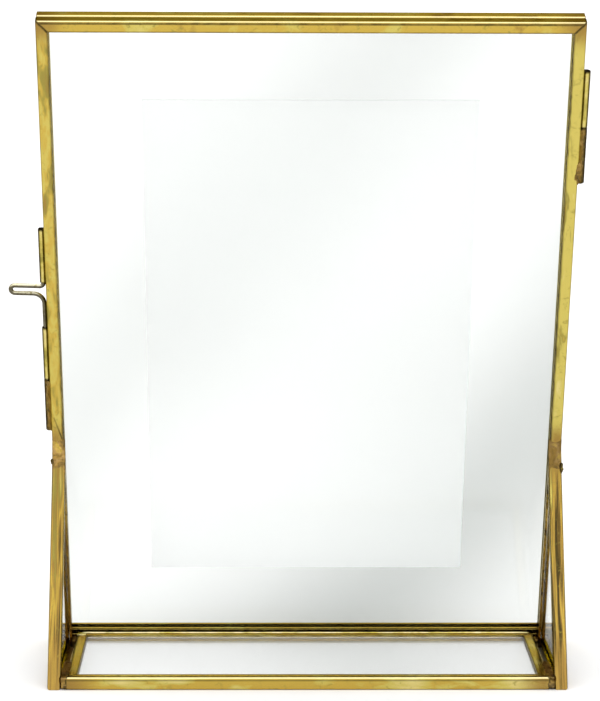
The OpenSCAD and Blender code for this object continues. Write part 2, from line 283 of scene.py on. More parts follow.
class Nodes:
    """Short way to build the node tree of a material or of the world."""

    def __init__(self, owner, shader="ShaderNodeBsdfPrincipled", output="ShaderNodeOutputMaterial"):
        self.owner = owner
        owner.use_nodes = True
        self.tree = owner.node_tree
        self.tree.nodes.clear()
        self.column = 0
        self.shader = self.add(shader)
        self.tree.links.new(self.shader.outputs[0], self.add(output).inputs["Surface"])
        self.places = self.add("ShaderNodeTexCoord").outputs
        self.place = self.places["Object"]

    def add(self, kind, inputs=None, **settings):
        """Adds a node with its settings, then sets or links its inputs."""
        column_width = 180
        node = self.tree.nodes.new(kind)
        node.location = (self.column * column_width, 0)
        self.column += 1
        for key, value in settings.items():
            setattr(node, key, value)
        for key, value in (inputs or {}).items():
            self.feed(node.inputs[key], value)
        return node

    def feed(self, socket, value):
        """Links a socket, or sets its value."""
        if isinstance(value, bpy.types.NodeSocket):
            self.tree.links.new(value, socket)
        elif socket.type == "RGBA" and len(value) == 3:
            socket.default_value = (*value, 1.0)
        else:
            socket.default_value = value

    def dress(self, values):
        """Sets or links the shader's inputs, and gives back the finished material."""
        for key, value in values.items():
            self.feed(self.shader.inputs[key], value)
        return self.owner

    def math(self, operation, *values, clamp=False):
        inputs = dict(enumerate(values))
        return self.add("ShaderNodeMath", inputs, operation=operation, use_clamp=clamp).outputs[0]

    def plus(self, a, b):
        return self.math("ADD", a, b)

    def minus(self, a, b):
        return self.math("SUBTRACT", a, b)

    def times(self, a, b):
        return self.math("MULTIPLY", a, b)

    def lesser(self, a, b):
        return self.math("MINIMUM", a, b)

    def unsigned(self, a):
        return self.math("ABSOLUTE", a)

    def most(self, *values):
        found = values[0]
        for value in values[1:]:
            found = self.math("MAXIMUM", found, value)
        return found

    def split(self, vector):
        return tuple(self.add("ShaderNodeSeparateXYZ", {0: vector}).outputs)

    def local(self, turn=0.0, origin=(0, 0, 0), stretch=(1, 1, 1)):
        """Place in a frame turned about X, divided by the stretch."""
        inputs = {"Vector": self.place, "Location": origin, "Rotation": (turn, 0, 0), "Scale": stretch}
        return self.add("ShaderNodeMapping", inputs, vector_type="TEXTURE").outputs[0]

    def noise(self, place, size, detail=2.0, rough=0.5, warp=0.0):
        """Noise whose lumps are about the given size in metres."""
        inputs = {
            "Vector": place, "Scale": 1 / size, "Detail": detail, "Roughness": rough, "Distortion": warp,
        }
        return self.add("ShaderNodeTexNoise", inputs).outputs["Fac"]

    def span(self, value, low, high, to_low=0.0, to_high=1.0, smooth=True):
        """Passes from to_low to to_high while the value passes from low to high."""
        inputs = {"Value": value, "From Min": low, "From Max": high, "To Min": to_low, "To Max": to_high}
        kind = "SMOOTHSTEP" if smooth else "LINEAR"
        return self.add("ShaderNodeMapRange", inputs, interpolation_type=kind).outputs["Result"]

    def fade(self, value, low, high, full=1.0):
        """Full below low and nothing above high."""
        return self.span(value, low, high, full, 0.0)

    def window(self, value, low, high, soft):
        """1 between low and high, with soft ends."""
        rise = self.span(value, low - soft, low + soft)
        return self.times(rise, self.fade(value, high - soft, high + soft))

    def near(self, points, inner, outer):
        """1 within inner of any of the points, mirrored in x, and 0 beyond outer."""
        x, y, z = self.split(self.place)
        here = self.add("ShaderNodeCombineXYZ", {0: self.unsigned(x), 1: y, 2: z}).outputs[0]
        found = []
        for point in points:
            gap = self.add("ShaderNodeVectorMath", {0: here, 1: point}, operation="DISTANCE")
            found.append(self.fade(gap.outputs["Value"], inner, outer))
        return self.most(*found)

    def blend(self, part, a, b):
        """Colour that passes from a to b."""
        colour_a, colour_b, colour_out = 6, 7, 2
        inputs = {"Factor": part, colour_a: a, colour_b: b}
        return self.add("ShaderNodeMix", inputs, data_type="RGBA").outputs[colour_out]

    def ramp(self, value, stops, kind="LINEAR"):
        """Colours or grey values set out along the value."""
        node = self.add("ShaderNodeValToRGB", {0: value})
        node.color_ramp.interpolation = kind
        marks = node.color_ramp.elements
        while len(marks) > 1:
            marks.remove(marks[-1])
        for i, (spot, tone) in enumerate(stops):
            mark = marks[0] if i == 0 else marks.new(spot)
            mark.position = spot
            mark.color = (tone, tone, tone, 1.0) if isinstance(tone, float) else (*tone, 1.0)
        return node.outputs[0]

    def bump(self, height, distance, force=1.0, under=None):
        """Surface raised by the height, on top of the one under it."""
        inputs = {"Height": height, "Distance": distance, "Strength": force}
        if under is not None:
            inputs["Normal"] = under
        return self.add("ShaderNodeBump", inputs).outputs["Normal"]


def new_finish(name):
    return Nodes(bpy.data.materials.new(name))


def dimmed(tone, part):
    return tuple(c * part for c in tone)


def finish_brass(
    n, place, tones, streak, mottle, shade_and_dirt=None, heat=None, highlight_and_bright_solder=None, tilt=None,
    edge=None, rough=None, thin_cover=0.55, cover_tone=1.0,
):
    """Colours rubbed, hand-soldered brass from tones that follow its streaks, then adds painted shade with
    dirt, heat colour and a painted highlight.

    Shade_and_dirt, heat, highlight_and_bright_solder and tilt vary over the piece. Thin_cover is what is left
    of the painted shade and dirt where it is thinnest, and cover_tone is how bright that darkening is.
    """
    f = brass()
    streak_share, mottle_share, uneven_rough = 0.68, 0.32, 0.2
    long_tone = n.noise(place, streak, warp=0.5)
    fine_tone = n.noise(place, mottle, detail=3.0, rough=0.6, warp=0.8)
    value = n.plus(n.times(long_tone, streak_share), n.times(fine_tone, mottle_share))
    if tilt is not None:
        value = n.plus(value, tilt)
    shade = n.ramp(value, tones)
    dull = n.noise(n.place, mottle * 1.1, detail=3.0, rough=0.65, warp=1.0)
    shade = n.blend(n.span(dull, 0.55, 0.72, 0.0, 0.75), shade, f.olive)
    if heat is not None:
        shade = n.blend(n.times(heat, n.span(fine_tone, 0.3, 0.55, 0.65, 1.0)), shade, f.patina)
    # Painted highlight: blends towards the cream colour where the mask is set.
    if highlight_and_bright_solder is not None:
        shade = n.blend(highlight_and_bright_solder, shade, f.highlight_and_bright_solder)
    # Painted shade, with dirt where the masks hold it, blended towards the dark colour.
    if shade_and_dirt is not None:
        cover = n.times(shade_and_dirt, n.span(fine_tone, 0.35, 0.6, 1.0, thin_cover))
        shade = n.blend(cover, shade, dimmed(f.dark, cover_tone))
    smoothest = (f.rough if rough is None else rough) - uneven_rough / 2
    scratches = n.noise(place, mottle / 6, rough=0.6)
    return n.dress({
        "Base Color": shade,
        "Metallic": 1.0,
        "Specular Tint": edge or f.level_edge,
        "Roughness": n.math("ADD", n.times(fine_tone, uneven_rough), smoothest, clamp=True),
        "Normal": n.bump(scratches, 0.01 * MM, 0.3, n.bump(long_tone, f.ripple)),
    })


def from_rim(n, x, half, along, low, high):
    """Distance in from the nearest edge of a rectangle of bars, and distance from its mitres."""
    side = n.minus(half, n.unsigned(x))
    end = n.lesser(n.minus(along, low), n.minus(high, along))
    return n.lesser(side, end), n.unsigned(n.minus(side, end))


def edge_shade_and_mitres(n, inward, off_mitre, level=True, web=0.0):
    """Painted shade on the web, by the folds and along the glass, and dark dirt in the mitres."""
    size = sizes()
    # Painted shade: on level bars a dark line just inside the fold and a darkened web; on upright bars a dark
    # outline at the outer fold.
    if level:
        by_fold = n.window(inward, 0.4 * MM, 1.1 * MM, 0.1 * MM)
        if web:
            by_fold = n.most(by_fold, n.fade(inward, 0.02 * MM, 0.12 * MM, web))
    else:
        by_fold = n.fade(inward, 0.05 * MM, 0.5 * MM, 0.8)
    # Painted shade along the inner edge, where the bar meets the glass; the mitres get dark dirt.
    by_glass = n.span(inward, size.bar_w - 0.6 * MM, size.bar_w - 0.15 * MM)
    on_flange = n.fade(inward, size.bar_w, size.bar_w + 0.1 * MM)
    mitre = n.times(n.fade(off_mitre, 0.3 * MM, 0.75 * MM), on_flange)
    return n.most(n.times(by_fold, 0.9), n.times(by_glass, 0.8), mitre)


def crease(n, x, s):
    """Dark line of the crease that slants down the near leaf's left bar, above the leg."""
    top, low = (-80.6 * MM, 86.3 * MM), (-78.1 * MM, 78.0 * MM)
    run = math.hypot(low[0] - top[0], low[1] - top[1])
    across = ((top[1] - low[1]) / run, (low[0] - top[0]) / run)
    off = n.plus(n.times(x, across[0]), n.times(s, across[1]))
    off = n.unsigned(n.minus(off, top[0] * across[0] + top[1] * across[1]))
    line = n.times(n.fade(off, 0.15 * MM, 0.35 * MM, 0.9), n.window(s, low[1], top[1], 0.4 * MM))
    on_left = n.fade(x, -10 * MM, 0.0)
    return n.times(line, on_left)


def leaf_brass(name, tones, near, spots, level):
    """Brass of a leaf's bars. The level ones have a painted highlight along their folds, and are browner
    towards the hinge.
    """
    size = sizes()
    n = new_finish(name)
    x, _, s = n.split(n.local(size.lean, foot()))
    inward, off_mitre = from_rim(n, x, size.panel_w / 2, s, 0.0, size.panel_l)
    # The near leaf's bars get painted shade along folds, web and glass, and dirt in the mitres.
    shade_and_dirt = edge_shade_and_mitres(n, inward, off_mitre, level, brass().web_shade) if near else None
    heat = n.near(spots, 2.5 * MM, 11 * MM)
    level_streak, upright_streak, mottle = 7 * MM, 5 * MM, 1.8 * MM
    if level:
        place = n.local(size.lean, foot(), (2.2, 1, 2.2))
        tilt = n.span(x, 0.0, size.panel_w / 2, 0.0, -0.05, smooth=False)
        # Painted highlight: a cream line along the fold of each level bar.
        highlight_and_bright_solder = n.window(inward, 0.1 * MM, 0.3 * MM, 0.07 * MM)
        return finish_brass(n, place, tones, level_streak, mottle, shade_and_dirt, heat, highlight_and_bright_solder, tilt, thin_cover=0.8)
    place = n.local(size.lean, foot(), (1, 1, 3.5))
    if near:
        shade_and_dirt = n.most(shade_and_dirt, crease(n, x, s))
    return finish_brass(n, place, tones, upright_streak, mottle, shade_and_dirt, heat, edge=brass().side_edge)


def base_brass(name, tones, spots):
    """Brass of the base frame, browner towards its corners."""
    top = sizes().bar_t
    n = new_finish(name)
    x, y, high = n.split(n.place)
    inward, off_mitre = from_rim(n, x, base_half(), y, front_y(), rear_y())
    # Painted shade: a dark band just under the base's front arris.
    below_fold = n.window(high, top - 1.35 * MM, top - 0.75 * MM, 0.2 * MM)
    shade_and_dirt = n.most(edge_shade_and_mitres(n, inward, off_mitre), n.times(below_fold, 0.6))
    heat = n.near(spots, 3 * MM, 14 * MM)
    # Painted highlight: a cream line along the base's top arris.
    highlight_and_bright_solder = n.window(high, top - 0.52 * MM, top - 0.2 * MM, 0.08 * MM)
    tilt = n.span(x, -base_half(), 10 * MM - base_half(), -0.08, 0.0)
    place = n.local(stretch=(3.5, 3.0, 1.0))
    streak, mottle = 6 * MM, 2.2 * MM
    return finish_brass(n, place, tones, streak, mottle, shade_and_dirt, heat, highlight_and_bright_solder, tilt, thin_cover=0.85)


def side_brass(name, tones, spots):
    """Brass of the side triangles, streaked along the legs, browner on the right and at the foot."""
    size = sizes()
    n = new_finish(name)
    turn, origin = -leg_lean(), (0.0, front_y(), 0.0)
    x, deep, up = n.split(n.local(turn, origin))
    tilt = n.plus(n.span(x, -20 * MM, 20 * MM, 0.0, -0.03), n.span(up, 12 * MM, 34 * MM, -0.06, 0.0))
    x = n.unsigned(x)
    rim = n.lesser(n.minus(size.panel_w / 2, x), n.minus(x, size.panel_w / 2 - size.bar_t))
    on_face = n.fade(n.unsigned(deep), 0.7 * MM, 1.4 * MM)
    # Painted shade: a dark outline along the edges of the legs' faces.
    shade_and_dirt = n.times(n.fade(rim, 0.2 * MM, 0.8 * MM, 0.8), on_face)
    heat = n.times(n.near(spots, 4 * MM, 16 * MM), 0.75)
    place = n.local(turn, origin, (1, 1, 24))
    streak, mottle = 1.8 * MM, 1.1 * MM
    return finish_brass(n, place, tones, streak, mottle, shade_and_dirt, heat, tilt=tilt, edge=brass().side_edge)


def worked_brass(name, tones, shade_share, rough):
    """Brass of a rolled or bent piece, whose mesh carries its own painted shade."""
    n = new_finish(name)
    shade = n.add("ShaderNodeAttribute", attribute_name="shade").outputs["Fac"]
    streak, mottle = 6 * MM, 1.6 * MM
    return finish_brass(
        n, n.place, tones, streak, mottle, n.times(shade, shade_share),
        edge=brass().tube_edge, rough=rough, thin_cover=0.92, cover_tone=0.4,
    )


def solder_finish(name, bright=1.0):
    """Lumpy tin solder, coloured by heat."""
    f = brass()
    n = new_finish(name)
    broad = n.noise(n.place, 4.5 * MM, detail=3.0, rough=0.6, warp=0.8)
    pits = n.noise(n.place, 0.9 * MM, detail=3.0, rough=0.6)
    tones = ((0.34, f.tarnish_and_inside_shade, 1.0), (0.46, f.patina, 0.7), (0.58, f.solder, 1.0), (0.7, f.gold, 0.75))
    shade = n.ramp(broad, [(spot, dimmed(tone, part * bright)) for spot, tone, part in tones])
    return n.dress({
        "Base Color": n.blend(n.span(pits, 0.54, 0.72, 0.0, 0.7), shade, f.dark),
        "Metallic": 0.95,
        "Specular Tint": f.tube_edge,
        "Roughness": n.span(pits, *RANGE, 0.24, 0.45),
        "Normal": n.bump(pits, 0.05 * MM, 0.6, n.bump(broad, 0.2 * MM, 0.8)),
    })


def inside_shade_finish():
    """Nearly black painted shade inside the rolled tubes."""
    dark = brass().dark
    n = new_finish("tube_inside_shade")
    cloud = n.noise(n.place, 1.5 * MM, detail=3.0)
    return n.dress({
        "Base Color": n.blend(n.span(cloud, *CLOUDS), dimmed(dark, 0.25), dimmed(dark, 0.6)),
        "Metallic": 0.3,
        "Roughness": n.span(cloud, *RANGE, 0.6, 0.8),
    })


def glass_finish(name, clear, sheen, glare=1.0, gleam=0.0):
    """Clear pane with soft diagonal grey bands of painted reflection, laid out across the leaf and up its
    slope.
    """
    n = new_finish(name)
    x, _, s = n.split(n.local(sizes().lean, foot()))
    wander = n.times(n.noise(n.place, 110 * MM, detail=1.0), 12 * MM)
    along = n.plus(n.minus(x, n.times(s, BAND_SLANT)), wander)
    # Painted reflection: grey bands tint the glass along a slant.
    reflection_bands = n.ramp(n.span(along, *BAND_REACH, smooth=False), BAND_CLEARNESS, "B_SPLINE")
    grey = tuple(c * tint * (1 - sheen) for c, tint in zip(clear, panes().grey))
    smears = n.noise(n.place, 16 * MM, detail=4.0, rough=0.6, warp=1.5)
    return n.dress({
        "Base Color": n.blend(reflection_bands, grey, clear),
        "Roughness": n.span(smears, 0.55, 0.9, 0.0, 0.03),
        "Transmission Weight": 1.0,
        "Specular Tint": (glare, glare, glare),
        "IOR": 1.5,
        # Painted light: the pane glows by the gleam's strength.
        "Emission Color": (1.0, 1.0, 0.99),
        "Emission Strength": gleam,
    })


def card_finish():
    """Smooth white card with a faint paper grain, which glows as painted light, most at the foot."""
    p = panes()
    n = new_finish("blank_card")
    cloud = n.noise(n.place, 25 * MM, detail=3.0)
    grain = n.noise(n.place, 0.4 * MM, detail=3.0, rough=0.7)
    _, _, high = n.split(n.place)
    return n.dress({
        "Base Color": n.blend(n.span(cloud, *CLOUDS), dimmed(p.card, 0.992), p.card),
        "Roughness": n.span(grain, *RANGE, 0.55, 0.7),
        "Specular IOR Level": 0.3,
        # Painted light: the card glows, brightest at its foot.
        "Emission Color": (0.97, 0.985, 1.0),
        "Emission Strength": n.span(high, 25 * MM, 110 * MM, p.foot_glow, p.top_glow),
        "Normal": n.bump(grain, 0.01 * MM, 0.3),
    })


def paint(name, material):
    """Puts a material in every slot of a solid."""
    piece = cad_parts[name]
    if not piece.material_slots:
        piece.data.materials.append(material)
    for place in piece.material_slots:
        place.material = material
    return piece


def soften_edges(piece):
    """Rounds the cut edges of a solid without touching its mesh."""
    weld = piece.modifiers.new("weld", "WELD")
    weld.merge_threshold = 0.002 * MM
    edge = piece.modifiers.new("softened_edges", "BEVEL")
    edge.width, edge.segments = brass().softened, 2
    edge.limit_method, edge.angle_limit = "ANGLE", math.radians(50)
    flow = piece.modifiers.new("even_normals", "WEIGHTED_NORMAL")
    flow.weight = 50


def dress_channels(material, *bars):
    """Dresses the named bars and softens their cut edges."""
    for bar in bars:
        soften_edges(paint(f"{bar}_channel", material))


class PHOTOFRAME_OT_channels(bpy.types.Operator):
    """Give every folded channel aged brass and soft cut edges"""

    bl_idname = "photoframe.channels"
    bl_label = "Folded channels"

    def execute(self, context):
        size, f = sizes(), brass()
        half = size.panel_w / 2
        apex = (half - size.bar_t / 2, apex_y(), size.apex_h)
        ends = [on_panel(half, size.bar_t / 2, size.panel_l), on_panel(half, size.bar_t / 2, 0)]
        foot_high = 4 * MM
        feet = [(half - size.bar_t, y, foot_high) for y in (front_y(), rear_y())]
        bright = ((0.30, f.gold), (0.38, f.olive), (0.45, f.yellow), (0.58, f.yellow), (0.68, f.pale))
        mixed = (
            (0.32, f.patina), (0.40, f.olive), (0.46, f.gold),
            (0.52, f.yellow), (0.60, f.gold), (0.70, f.yellow),
        )
        golden = ((0.30, f.patina), (0.40, f.gold), (0.54, f.gold), (0.62, f.yellow), (0.78, f.pale))
        warm = ((0.28, f.patina), (0.38, f.gold), (0.50, f.gold), (0.56, f.yellow), (0.68, f.pale))
        brown = (
            (0.36, f.dark), (0.43, f.patina), (0.48, f.gold), (0.53, f.patina),
            (0.59, f.olive), (0.64, f.yellow), (0.70, f.pale),
        )
        for leaf in ("near", "far"):
            near = leaf == "near"
            spots = [*ends, apex] if near else ends
            for side, tones in (("left", mixed), ("right", bright)):
                upright = leaf_brass(f"{leaf}_{side}_brass", tones, near, spots, level=False)
                dress_channels(upright, f"{leaf}_{side}")
            across = leaf_brass(f"{leaf}_end_brass", golden, near, ends, level=True)
            dress_channels(across, f"{leaf}_top", f"{leaf}_bottom")
        base = base_brass("base_brass", warm, feet)
        dress_channels(base, "base_front", "base_rear", "base_left", "base_right")
        side = side_brass("side_brass", brown, [apex, *feet])
        dress_channels(side, "left_leg", "left_rear", "left_foot", "right_leg", "right_rear", "right_foot")
        return {"FINISHED"}


class PHOTOFRAME_OT_panes(bpy.types.Operator):
    """Give every pane clear glass, with soft bands of painted reflection on the two leaves"""

    bl_idname = "photoframe.panes"
    bl_label = "Panes"

    def execute(self, context):
        p = panes()
        paint("near_glass", glass_finish("near_glass_finish", p.glass, p.near_sheen, p.glare))
        paint("far_glass", glass_finish("far_glass_finish", p.glass, p.far_sheen, p.glare))
        plain = glass_finish("side_glass_finish", p.glass, p.side_sheen)
        for name in ("left_side_glass", "right_side_glass"):
            paint(name, plain)
        paint("base_glass", glass_finish("base_glass_finish", p.base_glass, 0.0, gleam=p.pane_gleam))
        return {"FINISHED"}


class PHOTOFRAME_OT_card(bpy.types.Operator):
    """Give the blank insert card a smooth paper finish"""

    bl_idname = "photoframe.card"
    bl_label = "Insert card"

    def execute(self, context):
        paint("insert_card", card_finish())
        return {"FINISHED"}


def new_object(name, data):
    """Makes an object and puts it in the scene."""
    made = bpy.data.objects.new(name, data)
    bpy.context.scene.collection.objects.link(made)
    return made


def shown_piece(name, verts, faces, materials, body, shades=None, sharp=70):
    """Makes a mesh object that rides on a body, with outward faces, crisp edges and a shade at each point."""
    mesh = bpy.data.meshes.new(name)
    mesh.from_pydata([tuple(v) for v in verts], [], faces)
    if shades:
        layer = mesh.attributes.new("shade", "FLOAT", "POINT")
        layer.data.foreach_set("value", shades)
    work = bmesh.new()
    work.from_mesh(mesh)
    bmesh.ops.recalc_face_normals(work, faces=work.faces)
    for face in work.faces:
        face.smooth = True
    for edge in work.edges:
        if len(edge.link_faces) == 2 and edge.calc_face_angle(0) > math.radians(sharp):
            edge.smooth = False
    work.to_mesh(mesh)
    work.free()
    piece = new_object(name, mesh)
    for material in materials:
        mesh.materials.append(material)
    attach(piece, body)
    return piece


def skin(rings, ends=True):
    """Points and faces between equal closed rings, with a flat face at each end if asked for."""
    count = len(rings[0])
    verts = [point for ring in rings for point in ring]
    faces = []
    for i in range(len(rings) - 1):
        for j in range(count):
            a, b = i * count + j, i * count + (j + 1) % count
            faces.append((a, b, b + count, a + count))
    if ends:
        last = (len(rings) - 1) * count
        faces.append(tuple(range(count - 1, -1, -1)))
        faces.append(tuple(range(last, last + count)))
    return verts, faces


def lumpiness(*place):
    """Noise between about -1 and 1 at a place, the same in every run."""
    return noise.noise(Vector(place))


class Tube(NamedTuple):
    """A rolled tube beside the panel, from its low end up the slope, with the name of its solid."""

    node: str
    side: int
    leaf: int
    od: float
    low: float
    run: float

    @property
    def body(self):
        return DOOR if self.leaf == FAR else STAND

    @property
    def piece(self):
        return self.node.replace("_", "-")

    def beside(self, out, n, s):
        """Point at out beyond the tube's axis, n from the seam into its own leaf and s up the slope."""
        return on_panel(self.side * (tube_x(self.od) + out), seam_depth() + self.leaf * n, s)


def rolled_tubes():
    """The hinge's knuckles and the clasp's tubes, by the names of their solids."""
    size = sizes()
    hinge_mid = size.panel_l - size.hinge_drop - size.knuckle_l
    hinge_low = hinge_mid - size.tube_gap - size.knuckle_l
    upper = size.panel_l - size.clasp_drop - size.clasp_tube_l
    middle = upper - size.handle_bay - size.clasp_tube_l
    lower = middle - size.tube_gap - size.clasp_tube_l
    tubes = (
        Tube("hinge_upper_knuckle", RIGHT, FAR, size.knuckle_od, hinge_mid, size.knuckle_l),
        Tube("hinge_lower_knuckle", RIGHT, NEAR, size.knuckle_od, hinge_low, size.knuckle_l),
        Tube("clasp_upper_tube", LEFT, FAR, size.clasp_od, upper, size.clasp_tube_l),
        Tube("clasp_middle_tube", LEFT, FAR, size.clasp_od, middle, size.clasp_tube_l),
        Tube("clasp_lower_tube", LEFT, NEAR, size.clasp_od, lower, size.clasp_tube_l),
    )
    return {tube.node: tube for tube in tubes}


def roll_tube(tube, looks, seed):
    """Tube of thin sheet, open at both ends and painted nearly black inside as shade, with a narrow seam
    towards the leaf. Its outer side, its crook by the leaf and its ends carry painted shade.
    """
    r, t = tube.od / 2, sizes().sheet_t
    uneven, painted_end_shade = 0.03 * MM, 0.9
    start, sweep, count = math.radians(150), math.radians(352), 40
    angles = [start + sweep * i / (count - 1) for i in range(count)]
    section = [(True, a) for a in angles] + [(False, a) for a in reversed(angles)]
    rim_share, steps = 0.012, 12
    rim = (0.0, 0.005, rim_share, 0.035)
    shares = [*rim, *(rim_share + (1 - 2 * rim_share) * k / steps for k in range(1, steps))]
    shares += [1 - at for at in reversed(rim)]
    rings, shades = [], []
    for at in shares:
        edge = min(at, 1 - at) / rim_share
        tuck = 0.3 * t * max(0.0, 1 - edge) ** 2
        ring = []
        for outer, a in section:
            wobble = (lumpiness(math.cos(a) * 1.3 + seed, math.sin(a) * 1.3, at * 5) - 1) * uneven
            rad = (r - tuck if outer else r - t + tuck) + wobble
            ring.append(tube.beside(math.cos(a) * rad, math.sin(a) * rad, tube.low + tube.run * at))
            # Painted shade on the tube's outer side, in the crook by the leaf, and near its open ends.
            outside = max(0.0, (math.cos(a) - 0.3) / 0.4)
            crook = max(0.0, (-math.cos(a) - 0.1) / 0.5)
            shades.append(min(1.0, max(outside, crook) + (painted_end_shade if edge < 1.1 else 0.0)))
        rings.append(ring)
    verts, faces = skin(rings, ends=False)
    around = len(section)
    for first in (0, (len(rings) - 1) * around):
        for i in range(count - 1):
            faces.append((first + i, first + i + 1, first + around - 2 - i, first + around - 1 - i))
    rolled = shown_piece(f"{tube.piece}-rolled", verts, faces, looks, tube.body, shades, 45)
    inside = rolled.data.attributes.new("inside", "FLOAT", "POINT")
    flags = [0.0 if outer else 1.0 for _ in shares for outer, _ in section]
    inside.data.foreach_set("value", flags)
    for face in rolled.data.polygons:
        face.material_index = 1 if all(flags[v] > 0.5 for v in face.vertices) else 0
    return rolled


def solder_fillet(tube, reach, material, seed):
    """Uneven run of solder that fills the angle between a tube and its leaf."""
    size = sizes()
    r, bite, lumps = tube.od / 2, 0.02 * MM, 0.07 * MM
    stand = tube_x(tube.od) - size.panel_w / 2 + bite
    fold = size.leaf_gap / 2 + size.fold
    count, stations, end_share = 9, 29, 0.012
    seat = math.radians(60)
    tip = Vector((math.cos(seat), math.sin(seat))) * r * 0.98
    bed, wall = r - size.sheet_t / 2, [math.radians(a) for a in range(62, 143, 16)]
    rings = []
    for k in range(stations):
        at = k / (stations - 1)
        swell = 0.8 + 0.45 * lumpiness(at * 7, seed, 0.3) + 0.15 * math.sin(math.pi * at)
        swell = min(1.0, max(0.4, swell)) * (0.7 + 0.3 * min(1.0, min(at, 1 - at) * 12))
        top = fold + (reach - fold) * swell
        ring = [(-stand, fold * 0.9), (-stand, top)]
        for i in range(1, count):
            u = i / count
            sag = 0.22 * math.sin(math.pi * u) * (top - tip.y)
            bulge = lumpiness(u * 2, at * 14, seed + 4) * lumps
            ring.append((-stand + (tip.x + stand) * u + bulge * 0.5, top + (tip.y - top) * u - sag + bulge))
        ring.append(tuple(tip))
        ring.extend((bed * math.cos(a), bed * math.sin(a)) for a in wall)
        s = tube.low + tube.run * (end_share + (1 - 2 * end_share) * at)
        rings.append([tube.beside(out, n, s) for out, n in ring])
    verts, faces = skin(rings)
    return shown_piece(f"{tube.piece}-solder", verts, faces, [material], tube.body, sharp=55)


class PHOTOFRAME_OT_tubes(bpy.types.Operator):
    """Roll the hinge's knuckles and the clasp's tubes, each with its run of solder"""

    bl_idname = "photoframe.tubes"
    bl_label = "Rolled tubes"

    def execute(self, context):
        size, f = sizes(), brass()
        clean_tones = ((0.34, f.olive), (0.45, f.yellow), (0.60, f.pale))
        dull_tones = ((0.36, f.dark), (0.5, f.tarnish_and_inside_shade), (0.7, f.patina))
        pin_tones = ((0.3, dimmed(f.dark, 0.3)), (0.7, f.dark))
        # The share sets how deep the painted shade from each mesh goes.
        clean = worked_brass("rolled_tube_brass", clean_tones, shade_share=0.95, rough=f.tube_rough)
        dull = worked_brass("dull_tube_brass", dull_tones, shade_share=0.85, rough=0.3)
        # Painted shade: the nearly black material inside each tube.
        tarnish_and_inside_shade = inside_shade_finish()
        solder = solder_finish("heat_darkened_solder")
        for i, tube in enumerate(rolled_tubes().values()):
            far = tube.leaf == FAR
            rolled = roll_tube(tube, [clean if far else dull, tarnish_and_inside_shade], seed=i * 3.7)
            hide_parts(tube.node)
            solder_fillet(tube, size.bar_t * (0.55 if far else 0.68), solder, seed=i * 2.3)
        paint("hinge_pin", worked_brass("pin_brass", pin_tones, shade_share=0.0, rough=0.4))
        return {"FINISHED"}


def arc(middle, radius, start, sweep, steps):
    """Points on an arc about a middle, with both its ends."""
    turns = [start + sweep * i / steps for i in range(steps + 1)]
    return [(middle[0] + radius * math.cos(a), middle[1] + radius * math.sin(a)) for a in turns]


def between(start, end, steps):
    """Points on a straight line, without its ends."""
    shares = [i / steps for i in range(1, steps)]
    return [(start[0] + (end[0] - start[0]) * u, start[1] + (end[1] - start[1]) * u) for u in shares]


def latch_route():
    """Middle line of the hairpin latch, as x from its axis and s up the slope."""
    size = sizes()
    tubes = rolled_tubes()
    bend, low_bend, quarter = size.handle_bend, size.low_bend, math.pi / 2
    run = tubes["clasp_upper_tube"].low - size.handle_play - bend
    back = run - 2 * bend
    end = size.handle_reach - bend - size.wire_d / 2
    upper_tip = (0.0, run + bend + size.arm_in)
    lower_tip = (0.0, tubes["clasp_middle_tube"].low + size.tip_inset)
    line = [
        upper_tip,
        *between(upper_tip, (0.0, run + bend), 8),
        *arc((-bend, run + bend), bend, 0.0, -quarter, 12),
        *between((-bend, run), (-end, run), 10),
        *arc((-end, run - bend), bend, quarter, math.pi, 24),
        *between((-end, back), (-low_bend, back), 8),
        *arc((-low_bend, back - low_bend), low_bend, quarter, -quarter, 16),
        *between((0.0, back - low_bend), lower_tip, 12),
        lower_tip,
    ]
    handle_slant = 0.03
    return [(x, s - handle_slant * x) for x, s in line]


class PHOTOFRAME_OT_latch(bpy.types.Operator):
    """Bend the hairpin latch from one length of wire"""

    bl_idname = "photoframe.latch"
    bl_label = "Hairpin latch"

    def execute(self, context):
        size, f = sizes(), brass()
        route = latch_route()
        r, axis = size.wire_d / 2, -tube_x(size.clasp_od)
        count, brown_points, last = 20, 21, len(route) - 1
        drawn_in, uneven = 0.72, 0.05
        rings, shades = [], []
        for i, (x, s) in enumerate(route):
            before, after = route[max(i - 1, 0)], route[min(i + 1, last)]
            along = Vector((after[0] - before[0], after[1] - before[1])).normalized()
            across = Vector((-along[1], along[0]))
            slim = drawn_in if i in (0, last) else 1.0
            flat = 1 + uneven * lumpiness(i * 0.16, 0.0, 7.1)
            # Painted shade: the lower arm's points and the wire's underside turn dark.
            brown = 0.9 if i > last - brown_points else 0.0
            ring = []
            for k in range(count):
                a = 2 * math.pi * k / count
                out, deep = r * slim * math.cos(a) / flat, r * slim * math.sin(a) * flat
                ring.append(on_panel(axis + x + across[0] * out, seam_depth() + deep, s + across[1] * out))
                down = -across[1] * math.cos(a)
                shades.append(min(1.0, max(0.0, (down + 0.78) * 2.5, brown)))
            rings.append(ring)
        verts, faces = skin(rings)
        tones = ((0.30, f.pale), (0.45, f.wire), (0.7, f.wire))
        look = worked_brass("latch_wire_brass", tones, shade_share=0.92, rough=0.15)
        latch = shown_piece("latch-wire", verts, faces, [look], "latch", shades, 45)
        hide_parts("latch_pin")
        return {"FINISHED"}


